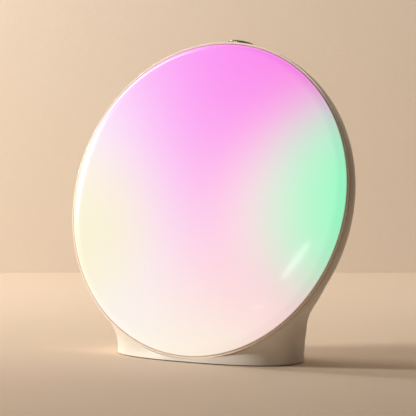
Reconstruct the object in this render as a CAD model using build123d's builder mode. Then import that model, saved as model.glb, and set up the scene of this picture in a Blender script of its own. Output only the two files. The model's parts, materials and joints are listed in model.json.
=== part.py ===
from build123d import *

import os
from math import cos, pi, radians, sin, sqrt, tan

os.makedirs("parts", exist_ok=True)

# Driving dimensions, in millimetres and degrees: the lit disc and its lens
lens_radius = 100.0
lens_rise = 8.5
lens_edge_rise = 4.0
lens_edge_round = 6.0
lens_wall = 2.4
lens_gap = 0.1
lean_angle = 15.0
disc_height = 100.5
disc_forward = 3.8

# Rim and shell of the disc, as depths behind the plane of the lens's edge
bezel_width = 1.6
bezel_depth = 2.5
bezel_edge = 0.35
rim_gap = 0.6
rim_groove = 0.8
shell_radius = 101.4
shell_wall = 2.5
shell_corner_depth = 17.0
shell_back_depth = 28.0
shell_edge_round = 14.0
fit_gap = 0.2
press_gap = 0.02
tongue_wall = 1.8
tongue_end = 5.5

# Foot: an oval that flares into the lower half of the disc
foot_half_width = 65.1
foot_half_depth = 31.2
foot_power = 2.38
foot_edge = 0.6
foot_tuck = 0.6
flare_power = 10.5
flare_shift_from = 17.1
flare_shift_to = 36.4
flare_stations = 16
front_square = 2.47
front_power_limit = 4.5
back_fullness = 1.0
top_back_power = 2.3
back_blend_power = 4.0
back_sweep_from = 8.0
back_sweep_to = 85.0
band_middle = 5.0
cavity_front = 3.0

# Dial on top of the rim, measured along its axis from the middle of the disc
dial_radius = 9.3
dial_depth = 13.6
dial_top = 103.9
dial_height = 3.6
dial_travel = 0.6
dial_gap = 0.3
dial_ridges = 48
dial_seat_gap = 0.8
pod_wall = 2.3
pod_roof = 4.3
pod_straight = 9.5
pod_edge = 1.0
pod_neck = 0.78
pod_taper = 14.0
pod_tip_radius = 3.0
shaft_radius = 2.95
running_gap = 0.05
bushing_wall = 0.5
encoder_side = 9.0
encoder_height = 5.0
encoder_floor = 0.6
plunger_height = 1.0
hub_radius = 4.8
cap_wall = 1.5
cap_skirt = 1.4
cap_crown = 0.6
cap_crown_inset = 0.4
ridge_radius = 0.3
chamber_room = 6.0
dial_board_width = 16.4
dial_board_depth = 10.2
dial_board_thickness = 1.2
dial_post_radius = 1.7
dial_screw_across = 6.4
dial_screw_length = 4.0

# Light engine
tray_radius = 98.3
tray_floor = 1.5
tray_floor_depth = 6.5
tray_floor_radius = 88.0
tray_lip_inner = 94.5
tray_lip_outer = 96.5
tray_lip_depth = 3.3
tray_screw_radius = 82.0
tray_screw_angle = 35.0
tray_screw_grip = 8.0
boss_radius = 3.6
boss_reach = 40.0
led_board_radius = 86.0
led_board_thickness = 1.6
led_side = 3.5
led_height = 1.4
led_rings = ((40, 12), (58, 18), (76, 24))
display_width = 50.4
display_height = 19.0
display_thickness = 8.0
digit_height = 14.0
digit_width = 7.0
digit_pitch = 12.2
segment_width = 1.4
segment_gap = 0.4
segment_proud = 0.3

# Electronics behind the tray
main_board_width = 90.0
main_board_height = 48.0
main_board_up = -36.0
main_board_thickness = 1.6
board_post = 4.0
post_radius = 3.0
cell_radius = 10.0
cell_thickness = 3.2
cell_place = (26.0, -44.0)
radio_place = (-27.0, -43.0)
radio_width = 15.0
radio_height = 20.0
radio_base = 0.8
radio_can = 2.0
radio_margin = 0.6
radio_shift = 3.0

# Chips as (across, up, width, height, thickness), cans as (across, up, radius, height)
chips = ((0, -4, 9, 9, 1.0), (-20, 12, 6, 5, 1.6), (-38, -8, 5, 10, 1.8), (-14, -12, 6, 6, 1.2))
cans = ((-10, 4, 2.5, 6.0), (11, -10, 3.15, 7.0), (38, 6, 2.5, 6.0))

# Sockets on the main board for the three leads, as (across, up), and the leads' routes
socket_size = (8.0, 5.0, 4.5)
lead_sockets = ((0.0, -20.0), (0.0, 10.0), (28.0, 12.0))
lead_radius = 0.7
lead_bend = 4.0
lead_start = 5.0
power_lead_radius = 1.1
power_lead_bend = 9.0
power_lead_rise = 13.5
power_lead_knee = (-2.25, 12.15, 35.4)
dial_lead_bow = 2.0

holder_radius = 12.0
holder_base = 1.2
holder_height = 4.0

# Loudspeaker behind the dome
speaker_up = 30.0
grille_radius = 19.3
grille_thickness = 1.2
grille_sink = 0.4
grille_hole_radius = 1.0
grille_pitch = 3.0
grille_field = 15.8
sound_radius = 17.0
speaker_radius = 23.5
speaker_seat_wall = 0.9
gasket_thickness = 0.6
flange_thickness = 1.0
frame_inner = 18.2
frame_wall = 0.9
speaker_screw_radius = 21.3
speaker_screw_length = 3.4
basket_depth = 5.2
magnet_radius = 9.5
magnet_depth = 3.5
cone_radius = 15.4
coil_radius = 5.9
cone_wall = 0.4
cone_fall = 3.2
surround_wall = 0.5
surround_roll = 0.7
surround_drop = 0.4
soft_gap = 0.3
coil_wall = 0.4
coil_reach = 1.5
coil_gap = 0.3
coil_slot_depth = 2.5
cap_rise = 1.6

# Buttons on the back
button_radius = 4.5
button_across = 13.0
button_up = -16.0
button_proud = 0.9
button_travel = 0.5
button_flange = 5.6
button_flange_thickness = 1.0
button_flange_gap = 0.3
button_edge = 0.6
tact_side = 6.0
tact_height = 3.3
tact_body = 2.5
tact_plunger_radius = 1.7
tact_plunger_foot = 0.9

# Inside the foot
pad_thickness = 1.0
pad_inset = 0.5
plate_thickness = 2.2
weight_length = 100.0
weight_depth = 26.0
weight_height = 10.0
weight_front = -15.0
power_board_width = 28.0
power_board_depth = 15.5
power_board_thickness = 1.6
socket_width = 8.94
socket_height = 3.26
socket_length = 7.35
socket_level = 11.0
inlet_recess = 1.4
socket_wall = 0.3
socket_corner = 1.55
socket_depth = 6.2
socket_tongue_width = 6.7
socket_tongue_height = 0.7
socket_tongue_length = 4.5
inlet_width = 12.6
inlet_height = 6.6
inlet_corner = 3.0
base_boss_across = 57.4
base_boss_radius = 4.4
base_boss_along = 8.0
base_boss_top = 18.0
base_screw_length = 10.0
head_recess = 1.8
power_post_radius = 2.4
power_board_gap = 0.8
power_screw_across = 11.2
power_screw_along = 4.9
power_screw_length = 5.0
weight_screw_across = 40.0
weight_screw_length = 11.6

# Parts on the power board, written like the main board's
power_chips = ((-4.5, -3.0, 5.0, 5.0, 3.0), (-3.0, -6.5, 3.0, 1.6, 1.0))
power_cans = ((4.0, -3.5, 2.5, 6.0),)

# Screws: head radius, head height and shank radius, and their cross drive in head radii
large_screw = (2.7, 1.7, 1.4)
small_screw = (1.9, 1.2, 1.0)
drive_length = 1.2
drive_width = 0.25
thread_gap = 0.05
hole_gap = 0.2

# Sizes worked out from the ones above
lean = radians(lean_angle)
shell_front = bezel_depth + rim_gap
bezel_radius = lens_radius + bezel_width
shell_inner = shell_radius - shell_wall
tongue_radius = shell_inner - fit_gap
tray_back = tray_floor_depth + tray_floor
led_board_front = tray_floor_depth - led_board_thickness
main_board_front = tray_back + board_post
main_board_back = main_board_front + main_board_thickness
dome_sagitta = shell_back_depth - shell_corner_depth
dome_radius = (shell_radius**2 + dome_sagitta**2) / (2 * dome_sagitta)
dial_bottom = dial_top - dial_height
dial_seat = dial_bottom - dial_seat_gap
pod_radius = dial_radius + pod_wall
encoder_top = dial_seat - pod_roof
encoder_base = encoder_top - encoder_height
plate_bottom = pad_thickness
plate_top = plate_bottom + plate_thickness

# Planes: the disc's front, its back as seen from behind, and the dial's axis
disc = Plane(
    origin=(0, -disc_forward, disc_height),
    x_dir=(1, 0, 0),
    z_dir=(0, -cos(lean), sin(lean)),
)
disc_axis = Axis(disc.origin, disc.z_dir)
section = Plane(origin=disc.origin, x_dir=disc.x_dir, z_dir=-disc.y_dir)


def save(piece, name):
    piece.part.label = name
    export_step(piece.part, f"parts/{name}.step")


def behind(depth):
    return disc.offset(-depth)


# From behind, x runs the other way
def from_back(depth):
    return Plane(origin=behind(depth).origin, x_dir=(-1, 0, 0), z_dir=-disc.z_dir)


def along_dial(reach):
    middle = disc.origin - disc.z_dir * dial_depth + disc.y_dir * reach
    return Plane(origin=middle, x_dir=(1, 0, 0), z_dir=disc.y_dir)


# A plane that touches the domed back, facing out of it
def on_dome(up):
    fall = sqrt(dome_radius**2 - up**2)
    middle = disc.origin + disc.z_dir * (dome_radius - shell_back_depth)
    spot = middle + disc.y_dir * up - disc.z_dir * fall
    return Plane(origin=spot, x_dir=(-1, 0, 0), z_dir=spot - middle)


def dome_depth(across, up):
    fall = sqrt(dome_radius**2 - across**2 - up**2)
    return shell_back_depth - dome_radius + fall


def on_disc(across, up, depth):
    return disc.origin + disc.x_dir * across + disc.y_dir * up - disc.z_dir * depth


def four_spots(across, up, middle=0):
    return [(x, middle + y) for x in (-across, across) for y in (-up, up)]


def smooth(share):
    share = min(max(share, 0), 1)
    return share * share * (3 - 2 * share)


def soft_max(one, other, power):
    return (one**power + other**power) ** (1 / power)


# Half the width of the disc's side band at a height, and the y of its middle
def band_half_width(height):
    below = (disc_height - height) / cos(lean)
    return sqrt(max(shell_radius**2 - below**2, 1))


def band_y(height):
    return -disc_forward + (height - disc_height) * tan(lean) + band_middle / cos(lean)


# The y of the domed back on the middle line, at a height
def dome_y(height):
    depth = shell_back_depth
    for _ in range(2):
        up = (height - disc_height + depth * sin(lean)) / cos(lean)
        depth = shell_back_depth - dome_sagitta * (up / shell_radius) ** 2
    return -disc_forward + up * sin(lean) + depth * cos(lean)


# Points of half an oval, from its back round the right-hand side to its front
def half_oval(half_width, middle, back, back_power, front, front_power):
    points = []
    for step in range(-6, 7):
        turn = radians(15 * step)
        power, reach = (back_power, back) if step < 0 else (front_power, -front)
        across = half_width * round(cos(turn), 9) ** (2 / power)
        points.append((across, middle + reach * abs(sin(turn)) ** (2 / power)))
    return points


# Right half of one level outline of the foot and its flare, drawn in by a wall
def foot_outline(height, wall, level=None):
    share = (height - foot_edge) / (disc_height - foot_edge)
    hump = sin(pi * min(max(share, 0), 1)) ** 2
    width = soft_max(foot_half_width, band_half_width(height) - foot_tuck, flare_power)
    shift = (height - flare_shift_from) / (flare_shift_to - flare_shift_from)
    middle = smooth(shift) * band_y(height)
    front = max(middle + foot_half_depth - height * tan(lean), cavity_front + 1)
    sweep = (height - back_sweep_from) / (back_sweep_to - back_sweep_from)
    foot_back = foot_half_depth * (1 - smooth(sweep))
    back = soft_max(foot_back, max(dome_y(height) - foot_tuck, 1), back_blend_power)
    front_power = min(foot_power + front_square * (height / 20) ** 3, front_power_limit)
    back_power = foot_power + back_fullness * hump + (top_back_power - foot_power) * smooth(share)
    right = half_oval(
        width - wall, middle, back - middle - wall, back_power, front - wall, front_power
    )
    with BuildSketch(Plane.XY.offset(height if level is None else level)) as outline:
        with BuildLine():
            Spline(right, tangents=[(1, 0), (-1, 0)])
            Line(right[-1], right[0])
        make_face()
    return outline.sketch


def flared_foot(wall):
    rise = disc_height - foot_edge
    heights = [foot_edge + rise * (i / flare_stations) ** 1.4 for i in range(flare_stations + 1)]
    outlines = [foot_outline(height, wall) for height in heights]
    with BuildPart() as foot:
        loft(sections=outlines)
        if wall:
            extrude(foot_outline(foot_edge, wall), amount=-foot_edge)
        mirror(about=Plane.YZ)
    return foot.part


def disc_bowl(wall):
    radius = shell_radius - wall
    back = shell_back_depth - wall
    corner_depth = shell_corner_depth - wall
    with BuildPart() as bowl:
        with BuildSketch(section) as profile:
            with BuildLine():
                TangentArc((0, -back), (radius, -corner_depth), tangent=(1, 0))
                Line((radius, -corner_depth), (radius, -shell_front))
                Line((radius, -shell_front), (0, -shell_front))
                Line((0, -shell_front), (0, -back))
            make_face()
            corner = profile.vertices().group_by(Axis.X)[-1].sort_by(Axis.Y)[0]
            fillet(corner, shell_edge_round - wall)
        revolve(axis=disc_axis)
    return bowl.part


# Round pod on the shoulder of the shell that carries the dial
def dial_pod():
    side = dial_seat - pod_straight
    with BuildPart() as pod:
        with BuildSketch(along_dial(side)):
            Circle(pod_radius)
        extrude(amount=pod_straight)
        with BuildSketch(along_dial(side)):
            Circle(pod_radius)
        with BuildSketch(along_dial(side - pod_taper / 2)):
            Circle(pod_radius * pod_neck)
        with BuildSketch(along_dial(side - pod_taper)):
            Circle(pod_tip_radius)
        loft()
        top_edge = pod.edges().filter_by(GeomType.CIRCLE).sort_by(Axis(disc.origin, disc.y_dir))[-1]
        fillet(top_edge, pod_edge)
    return pod.part


def screw_set(plane, spots, kind, length):
    head_radius, head_height, shank_radius = kind
    with BuildPart() as screws:
        with BuildSketch(plane):
            with Locations(*spots):
                Circle(head_radius)
        extrude(amount=head_height)
        with BuildSketch(plane):
            with Locations(*spots):
                Circle(shank_radius)
        extrude(amount=-length)
        with BuildSketch(plane.offset(head_height)):
            with Locations(*spots):
                Rectangle(head_radius * drive_length, head_radius * drive_width)
                Rectangle(head_radius * drive_width, head_radius * drive_length)
        extrude(amount=-head_height / 2, mode=Mode.SUBTRACT)
    return screws


# A round wire along straight runs and tangent arcs
def lead(points, radius, bend):
    with BuildPart() as wire:
        with BuildLine() as route:
            FilletPolyline(*points, radius=bend)
        with BuildSketch(Plane(origin=route.line @ 0, z_dir=route.line % 0)):
            Circle(radius)
        sweep(path=route.line)
    return wire


def ring(plane, outer, inner, amount):
    with BuildPart() as band:
        with BuildSketch(plane):
            Circle(outer)
            Circle(inner, mode=Mode.SUBTRACT)
        extrude(amount=amount)
    return band.part


def rods(plane, spots, radius, amount):
    with BuildPart() as row:
        with BuildSketch(plane):
            with Locations(*spots):
                Circle(radius)
        extrude(amount=amount)
    return row.part


# Where the four screws through the light engine sit
tray_turn = radians(tray_screw_angle)
tray_spots = four_spots(tray_screw_radius * cos(tray_turn), tray_screw_radius * sin(tray_turn))
base_spots = four_spots(base_boss_across, base_boss_along)
button_spots = [(-button_across, button_up), (button_across, button_up)]
dial_screw_spots = [(-dial_screw_across, 0), (dial_screw_across, 0)]
speaker_turns = [45, 135, 225, 315]
speaker_spots = [
    (speaker_screw_radius * cos(radians(turn)), speaker_screw_radius * sin(radians(turn)))
    for turn in speaker_turns
]
large_hole = large_screw[2] + hole_gap
large_pilot = large_screw[2] + thread_gap
small_hole = small_screw[2] + hole_gap
small_pilot = small_screw[2] + thread_gap

# Loudspeaker levels, as depths under the plane that touches the dome
speaker_seat = on_dome(speaker_up)
recess_depth = grille_sink + grille_thickness
seat_depth = shell_wall + speaker_seat_wall
flange_depth = seat_depth + gasket_thickness
basket_top = flange_depth + flange_thickness
magnet_top = basket_top + basket_depth

# Levels inside the foot and along the dial's axis
inlet_wall = foot_half_depth - inlet_recess
board_level = socket_level - socket_height / 2
power_board_back = foot_half_depth - shell_wall - power_board_gap
power_board_middle = power_board_back - power_board_depth / 2
weight_middle = weight_front + weight_depth / 2
cavity_plane = behind(shell_front + cavity_front)
pod_chamber = dial_board_width / 2 + hole_gap
chamber_front = tray_back + fit_gap
chamber_back = dial_depth + dial_board_depth / 2 + hole_gap
chamber_middle = (chamber_front + chamber_back) / 2 - dial_depth
bushing_radius = shaft_radius + running_gap + bushing_wall
shaft_bottom = encoder_base + encoder_floor + dial_travel + plunger_height

# Rear housing: foot, bowl and dial pod as one hollow shell, open to the front
solid_foot = flared_foot(0)
hollow_foot = flared_foot(shell_wall)
solid_bowl = disc_bowl(0)
hollow_bowl = disc_bowl(shell_wall)
pod = dial_pod()

with BuildPart() as envelope:
    add(solid_foot)
    add(solid_bowl)
    add(pod)
    with BuildSketch(behind(shell_front)):
        Circle(bezel_radius + fit_gap)
    extrude(amount=boss_reach, mode=Mode.SUBTRACT)

with BuildPart() as cavity:
    add(hollow_foot)
    split(bisect_by=cavity_plane, keep=Keep.BOTTOM)
    add(hollow_bowl)

# Everything that stands inside the shell, clipped to its outer shape
with BuildPart() as mounts:
    add(rods(behind(tray_back), tray_spots, boss_radius, -boss_reach))
    add(rods(Plane.XY.offset(plate_top), base_spots, base_boss_radius, base_boss_top - plate_top))
    add(ring(speaker_seat.offset(-seat_depth), speaker_radius + 1, sound_radius, seat_depth))
    with BuildSketch(along_dial(encoder_top)):
        Circle(pod_radius)
    extrude(amount=dial_seat - encoder_top)
    add(rods(along_dial(encoder_base), dial_screw_spots, dial_post_radius, encoder_height))
    split(bisect_by=behind(chamber_front), keep=Keep.BOTTOM)
    add(rods(behind(tray_back), tray_spots, boss_radius, -boss_reach))
    add(envelope.part, mode=Mode.INTERSECT)

speaker_pilot_depth = speaker_seat_wall + shell_wall / 2
housing_cuts = [
    rods(along_dial(dial_seat), [(0, 0)], dial_radius + dial_gap, pod_straight),
    rods(along_dial(encoder_top), [(0, 0)], bushing_radius + hole_gap, pod_straight),
    rods(along_dial(encoder_base), dial_screw_spots, small_pilot, dial_screw_length),
    rods(speaker_seat.offset(-recess_depth), [(0, 0)], grille_radius + fit_gap, boss_reach),
    rods(speaker_seat, [(0, 0)], sound_radius, -boss_reach / 2),
    rods(speaker_seat.offset(-seat_depth), speaker_spots, small_pilot, speaker_pilot_depth),
    rods(behind(main_board_back), button_spots, button_radius + running_gap, -boss_reach),
    rods(behind(tray_back), tray_spots, large_pilot, -tray_screw_grip - hole_gap),
    rods(Plane.XY.offset(plate_top), base_spots, large_pilot, base_screw_length),
]
mouth = Plane(origin=(0, inlet_wall, socket_level), x_dir=(-1, 0, 0), z_dir=(0, 1, 0))

with BuildPart() as rear_housing:
    add(envelope.part)
    add(cavity.part, mode=Mode.SUBTRACT)
    with BuildSketch(along_dial(encoder_base - chamber_room)):
        with Locations((0, chamber_middle)):
            Rectangle(2 * pod_chamber, chamber_back - chamber_front)
    extrude(amount=encoder_height + chamber_room, mode=Mode.SUBTRACT)
    add(mounts.part)

    # Seat of the dial, loudspeaker and button openings, and the pilot holes of the screws
    for cut in housing_cuts:
        add(cut, mode=Mode.SUBTRACT)

    # Power inlet: a shallow recess and the hole for the socket behind it
    with BuildSketch(mouth):
        RectangleRounded(inlet_width, inlet_height, inlet_corner)
    extrude(amount=boss_reach, mode=Mode.SUBTRACT)
    with BuildSketch(mouth):
        RectangleRounded(socket_width + 2 * fit_gap, socket_height + 2 * fit_gap, socket_height / 2)
    extrude(amount=-inlet_recess - shell_wall, mode=Mode.SUBTRACT)
save(rear_housing, "rear_housing")

# Front bezel: a metal-look rim round the lens, with a tongue that enters the housing
with BuildPart() as front_bezel:
    with BuildSketch(section):
        with BuildLine():
            Polyline(
                (tongue_radius - tongue_wall, -bezel_depth),
                (lens_radius + lens_gap, -bezel_depth),
                (lens_radius + lens_gap, 0),
                (bezel_radius - bezel_edge, 0),
                (bezel_radius, -bezel_edge),
                (bezel_radius, -bezel_depth),
                (bezel_radius - rim_groove, -bezel_depth),
                (bezel_radius - rim_groove, -shell_front),
                (tongue_radius, -shell_front),
                (tongue_radius, -tongue_end),
                (tongue_radius - tongue_wall, -tongue_end),
                close=True,
            )
        make_face()
    revolve(axis=disc_axis)
save(front_bezel, "front_bezel")


# Profile of the lens, as a shallow dome whose edge rolls back to a skirt
def lens_profile(radius, rise, edge_rise, edge_round):
    middle_rise = rise - (rise - edge_rise) / 4
    with BuildSketch() as profile:
        with BuildLine():
            ThreePointArc((0, rise), (radius / 2, middle_rise), (radius, edge_rise))
            Polyline((radius, edge_rise), (radius, -bezel_depth), (0, -bezel_depth), (0, rise))
        make_face()
        fillet(profile.vertices().group_by(Axis.X)[-1].sort_by(Axis.Y)[-1], edge_round)
    return profile.sketch


outer_profile = lens_profile(lens_radius - lens_gap, lens_rise, lens_edge_rise, lens_edge_round)
inner_profile = lens_profile(
    lens_radius - lens_gap - lens_wall,
    lens_rise - lens_wall,
    lens_edge_rise - lens_wall,
    lens_edge_round - lens_wall,
)
with BuildPart() as diffuser_lens:
    with BuildSketch(section):
        add(outer_profile)
        add(inner_profile, mode=Mode.SUBTRACT)
    revolve(axis=disc_axis)
save(diffuser_lens, "diffuser_lens")

# Light engine: reflector tray, its LED board, the clock display and four screws
main_board_posts = four_spots(
    main_board_width / 2 - board_post, main_board_height / 2 - board_post, main_board_up
)
with BuildPart() as reflector_tray:
    with BuildSketch(section):
        with BuildLine():
            Polyline(
                (0, -tray_floor_depth),
                (tray_floor_radius, -tray_floor_depth),
                (tray_lip_inner, -tray_lip_depth),
                (tray_lip_outer, -tray_lip_depth),
                (tray_lip_outer, -tongue_end),
                (tray_radius, -tongue_end),
                (tray_radius, -tray_back),
                (0, -tray_back),
                close=True,
            )
        make_face()
    revolve(axis=disc_axis)
    add(rods(behind(tray_back), main_board_posts, post_radius, -board_post))
    add(rods(behind(tray_floor_depth), tray_spots, large_hole, -tray_floor), mode=Mode.SUBTRACT)
    add(
        rods(behind(main_board_front), main_board_posts, small_pilot, board_post),
        mode=Mode.SUBTRACT,
    )
save(reflector_tray, "reflector_tray")

with BuildPart() as led_board:
    with BuildSketch(behind(led_board_front)):
        Circle(led_board_radius)
        with Locations(*tray_spots):
            Circle(large_hole, mode=Mode.SUBTRACT)
    extrude(amount=-led_board_thickness)
save(led_board, "led_board")

with BuildPart() as led_packages:
    with BuildSketch(behind(led_board_front)):
        for radius, count in led_rings:
            with PolarLocations(radius, count):
                Rectangle(led_side, led_side)
    extrude(amount=led_height)
save(led_packages, "led_packages")

with BuildPart() as clock_display:
    with BuildSketch(behind(led_board_front)):
        Rectangle(display_width, display_height)
    extrude(amount=display_thickness)
save(clock_display, "clock_display")

with BuildPart() as display_segments:
    with BuildSketch(behind(led_board_front - display_thickness)):
        for place in (-1.5, -0.5, 0.5, 1.5):
            middle = place * digit_pitch
            with Locations(*[(middle, y) for y in (-digit_height / 2, 0, digit_height / 2)]):
                Rectangle(digit_width - segment_width - segment_gap, segment_width)
            with Locations(*[(middle + x, y) for x, y in four_spots(digit_width / 2, digit_height / 4)]):
                Rectangle(segment_width, digit_height / 2 - segment_width - segment_gap)
        with Locations((0, -digit_height / 4), (0, digit_height / 4)):
            Rectangle(segment_width, segment_width)
    extrude(amount=segment_proud)
save(display_segments, "display_segments")

tray_screw_length = led_board_thickness + tray_floor + tray_screw_grip
save(screw_set(behind(led_board_front), tray_spots, large_screw, tray_screw_length), "tray_screws")

# Main board on the tray's back, with its screws, chips, radio module and clock cell
with BuildPart() as main_board:
    with BuildSketch(behind(main_board_front)):
        with Locations((0, main_board_up)):
            Rectangle(main_board_width, main_board_height)
        with Locations(*main_board_posts):
            Circle(small_hole, mode=Mode.SUBTRACT)
    extrude(amount=-main_board_thickness)
save(main_board, "main_board")

board_back = from_back(main_board_back)
board_screw_length = main_board_thickness + board_post - hole_gap
save(screw_set(board_back, main_board_posts, small_screw, board_screw_length), "board_screws")

with BuildPart() as board_parts:
    for across, up, width, height, thickness in chips:
        with BuildSketch(board_back):
            with Locations((across, main_board_up + up)):
                Rectangle(width, height)
        extrude(amount=thickness)
    for across, up, radius, height in cans:
        with BuildSketch(board_back):
            with Locations((across, main_board_up + up)):
                Circle(radius)
        extrude(amount=height)
    with BuildSketch(board_back):
        with Locations(*[(across, main_board_up + up) for across, up in lead_sockets]):
            Rectangle(socket_size[0], socket_size[1])
    extrude(amount=socket_size[2])
save(board_parts, "board_parts")

with BuildPart() as wireless_module:
    with BuildSketch(board_back):
        with Locations(radio_place):
            Rectangle(radio_width, radio_height)
    extrude(amount=radio_base)
    with BuildSketch(board_back.offset(radio_base)):
        with Locations((radio_place[0], radio_place[1] + radio_shift)):
            Rectangle(radio_width - 2 * radio_margin, radio_height - 2 * radio_shift - 2 * radio_margin)
    extrude(amount=radio_can)
save(wireless_module, "wireless_module")

with BuildPart() as cell_holder:
    with BuildSketch(board_back):
        with Locations(cell_place):
            Circle(holder_radius)
    extrude(amount=holder_height)
    with BuildSketch(board_back.offset(holder_base)):
        with Locations(cell_place):
            Circle(cell_radius + fit_gap / 2)
    extrude(amount=holder_height, mode=Mode.SUBTRACT)
save(cell_holder, "cell_holder")

with BuildPart() as coin_cell:
    with BuildSketch(board_back.offset(holder_base)):
        with Locations(cell_place):
            Circle(cell_radius)
    extrude(amount=cell_thickness)
save(coin_cell, "coin_cell")

# Two sprung buttons on the back, each over a switch on the main board
with BuildPart() as tact_switches:
    with BuildSketch(board_back):
        with Locations(*button_spots):
            Rectangle(tact_side, tact_side)
    extrude(amount=tact_body)
    with BuildSketch(board_back.offset(tact_plunger_foot - button_travel - hole_gap)):
        with Locations(*button_spots):
            Circle(tact_plunger_radius + running_gap)
    extrude(amount=tact_body, mode=Mode.SUBTRACT)
save(tact_switches, "tact_switches")

button_top = dome_depth(button_across, -button_up) + button_proud
button_flange_top = dome_depth(button_across + button_flange, button_flange - button_up) - shell_wall
plunger_length = tact_height - tact_plunger_foot
button_length = button_top - main_board_back - tact_height
for side, name in ((1, "left"), (-1, "right")):
    spot = [(side * button_across, button_up)]
    with BuildPart() as plunger:
        add(rods(board_back.offset(tact_plunger_foot), spot, tact_plunger_radius, plunger_length))
    save(plunger, f"{name}_button_plunger")
    with BuildPart() as button:
        add(rods(board_back.offset(tact_height), spot, button_radius, button_length))
        edge = button.edges().filter_by(GeomType.CIRCLE).sort_by(Axis(disc.origin, -disc.z_dir))[-1]
        fillet(edge, button_edge)
        flange_top = from_back(button_flange_top - button_flange_gap)
        add(rods(flange_top, spot, button_flange, -button_flange_thickness))
    save(button, f"{name}_button")

# Loudspeaker behind the dome, under a round drilled grille
row_pitch = grille_pitch * sqrt(3) / 2
grille_rows = int(grille_field / row_pitch)
grille_spots = [
    ((column + (row % 2) / 2) * grille_pitch, row * row_pitch)
    for row in range(-grille_rows, grille_rows + 1)
    for column in range(-grille_rows, grille_rows + 1)
    if ((column + (row % 2) / 2) * grille_pitch) ** 2 + (row * row_pitch) ** 2 < grille_field**2
]
with BuildPart() as speaker_grille:
    with BuildSketch(speaker_seat.offset(-recess_depth)):
        Circle(grille_radius)
        with Locations(*grille_spots):
            Circle(grille_hole_radius, mode=Mode.SUBTRACT)
    extrude(amount=grille_thickness)
save(speaker_grille, "speaker_grille")

with BuildPart() as speaker_gasket:
    add(ring(speaker_seat.offset(-seat_depth), speaker_radius, frame_inner, -gasket_thickness))
    add(rods(speaker_seat, speaker_spots, small_hole, -flange_depth - hole_gap), mode=Mode.SUBTRACT)
save(speaker_gasket, "speaker_gasket")

speaker_section = Plane(origin=speaker_seat.origin, x_dir=speaker_seat.x_dir, z_dir=-speaker_seat.y_dir)
speaker_axis = Axis(speaker_seat.origin, speaker_seat.z_dir)
with BuildPart() as speaker_basket:
    with BuildSketch(speaker_section):
        with BuildLine():
            Polyline(
                (frame_inner, -flange_depth),
                (speaker_radius, -flange_depth),
                (speaker_radius, -basket_top),
                (frame_inner + frame_wall, -basket_top),
                (magnet_radius + frame_wall, -magnet_top),
                (coil_radius + coil_gap, -magnet_top),
                (coil_radius + coil_gap, -magnet_top + frame_wall),
                (magnet_radius, -magnet_top + frame_wall),
                (frame_inner, -basket_top),
                close=True,
            )
        make_face()
    revolve(axis=speaker_axis)
    add(rods(speaker_seat, speaker_spots, small_hole, -basket_top - hole_gap), mode=Mode.SUBTRACT)
save(speaker_basket, "speaker_basket")

with BuildPart() as speaker_magnet:
    magnet_face = speaker_seat.offset(-magnet_top)
    add(rods(magnet_face, [(0, 0)], magnet_radius, -magnet_depth))
    slot_outer = coil_radius + coil_gap
    slot_inner = coil_radius - coil_wall - coil_gap
    add(ring(magnet_face, slot_outer, slot_inner, -coil_slot_depth), mode=Mode.SUBTRACT)
save(speaker_magnet, "speaker_magnet")

cone_top = flange_depth + surround_drop
cone_foot = cone_top + cone_fall
with BuildPart() as speaker_cone:
    with BuildSketch(speaker_section):
        with BuildLine():
            Polyline(
                (0, cap_rise - cone_foot),
                (coil_radius, -cone_foot),
                (cone_radius, -cone_top),
                (cone_radius, -cone_top - cone_wall),
                (coil_radius, -cone_foot - cone_wall),
                (coil_radius, -magnet_top - coil_reach),
                (coil_radius - coil_wall, -magnet_top - coil_reach),
                (coil_radius - coil_wall, -cone_foot - cone_wall),
                (0, cap_rise - cone_foot - cone_wall),
                close=True,
            )
        make_face()
    revolve(axis=speaker_axis)
save(speaker_cone, "speaker_cone")

surround_inner = cone_radius + soft_gap
surround_middle = (surround_inner + frame_inner) / 2
with BuildPart() as speaker_surround:
    with BuildSketch(speaker_section):
        with BuildLine():
            ThreePointArc(
                (surround_inner, -cone_top),
                (surround_middle, surround_roll - cone_top),
                (frame_inner, -cone_top),
            )
            Line((frame_inner, -cone_top), (frame_inner, -cone_top - surround_wall))
            ThreePointArc(
                (frame_inner, -cone_top - surround_wall),
                (surround_middle, surround_roll - cone_top - surround_wall),
                (surround_inner, -cone_top - surround_wall),
            )
            Line((surround_inner, -cone_top - surround_wall), (surround_inner, -cone_top))
        make_face()
    revolve(axis=speaker_axis)
save(speaker_surround, "speaker_surround")

flange_back = Plane(
    origin=speaker_seat.offset(-basket_top).origin, x_dir=speaker_seat.x_dir, z_dir=-speaker_seat.z_dir
)
save(screw_set(flange_back, speaker_spots, small_screw, speaker_screw_length), "speaker_screws")

# Dial on top: a knurled cap on a shaft that turns and presses in its encoder
with BuildPart() as dial_cap:
    with BuildSketch(along_dial(dial_bottom)):
        Circle(dial_radius)
        with PolarLocations(dial_radius, dial_ridges):
            Circle(ridge_radius, mode=Mode.SUBTRACT)
    extrude(amount=dial_height - cap_crown)
    add(rods(along_dial(dial_top - cap_crown), [(0, 0)], dial_radius - cap_crown_inset, cap_crown))
    crown = dial_cap.edges().filter_by(GeomType.CIRCLE).sort_by(Axis(disc.origin, disc.y_dir))[-1]
    chamfer(crown, cap_crown / 2)
    add(
        ring(along_dial(dial_bottom), dial_radius - cap_skirt, hub_radius, dial_height - cap_wall),
        mode=Mode.SUBTRACT,
    )
    add(
        rods(along_dial(dial_bottom), [(0, 0)], shaft_radius + press_gap, dial_height - cap_wall),
        mode=Mode.SUBTRACT,
    )
save(dial_cap, "dial_cap")

with BuildPart() as encoder_shaft:
    add(rods(along_dial(shaft_bottom), [(0, 0)], shaft_radius, dial_top - cap_wall - shaft_bottom))
save(encoder_shaft, "encoder_shaft")

with BuildPart() as dial_plunger:
    add(rods(along_dial(shaft_bottom), [(0, 0)], shaft_radius, -plunger_height))
save(dial_plunger, "dial_plunger")

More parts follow.
